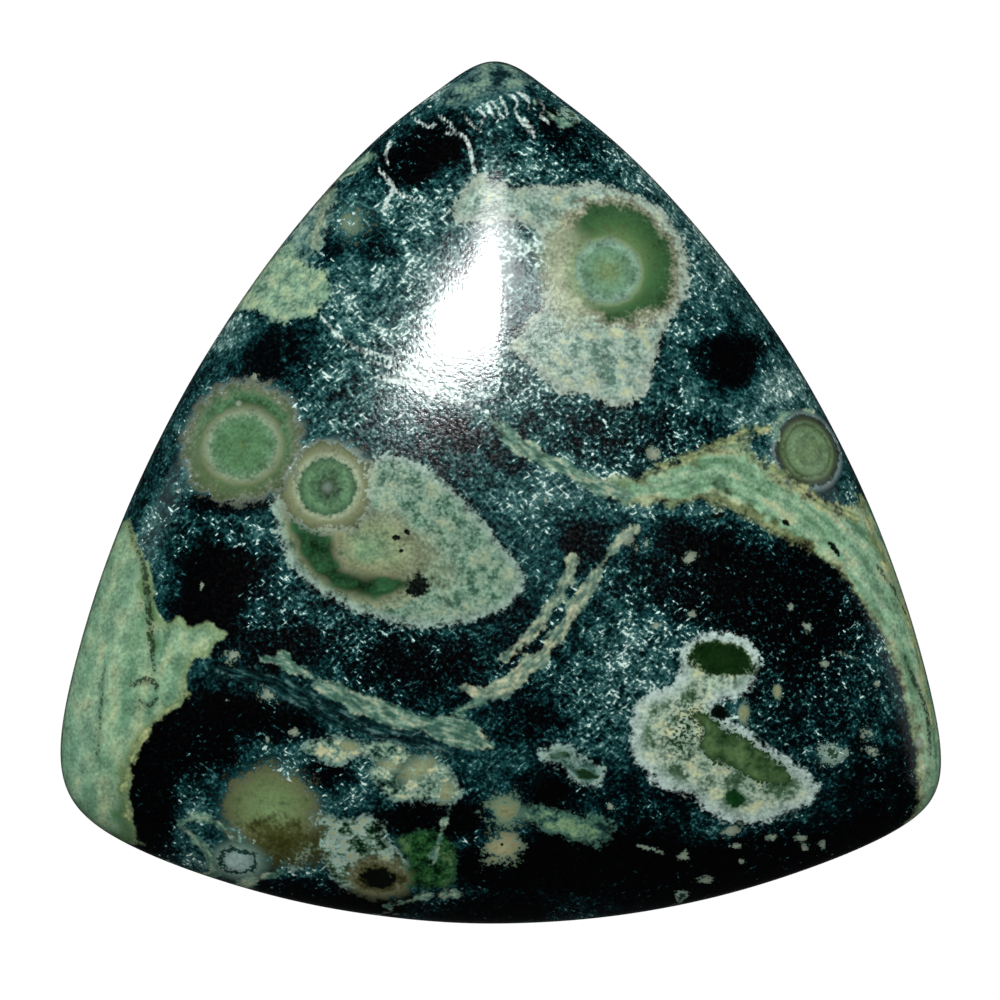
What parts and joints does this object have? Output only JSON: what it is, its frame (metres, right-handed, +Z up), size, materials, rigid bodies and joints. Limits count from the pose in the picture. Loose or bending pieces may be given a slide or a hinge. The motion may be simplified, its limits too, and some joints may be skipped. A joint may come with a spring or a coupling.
{
  "type": "triangular jasper cabochon",
  "caption": "Polished triangular cabochon of green orbicular jasper: low dome with rounded corners, narrow girdle and flat back, for setting in a bezel or lying on display.",
  "frame": {"origin": "on the flat back, under the middle of the widest outline's bounding box", "axes": "+Z up through the dome, +Y towards the pointed corner seen at the top of the picture, +X to the right along the longest side"},
  "size_m": [0.0354, 0.0346, 0.006],
  "materials": {
    "polished_jasper": "polished; nearly black teal groundmass flecked with fine needles, grey-green veins, and ringed olive and sea-green orbs"
  },
  "bodies": {
    "root": {"cabochon": "polished_jasper"}
  },
  "joints": []
}
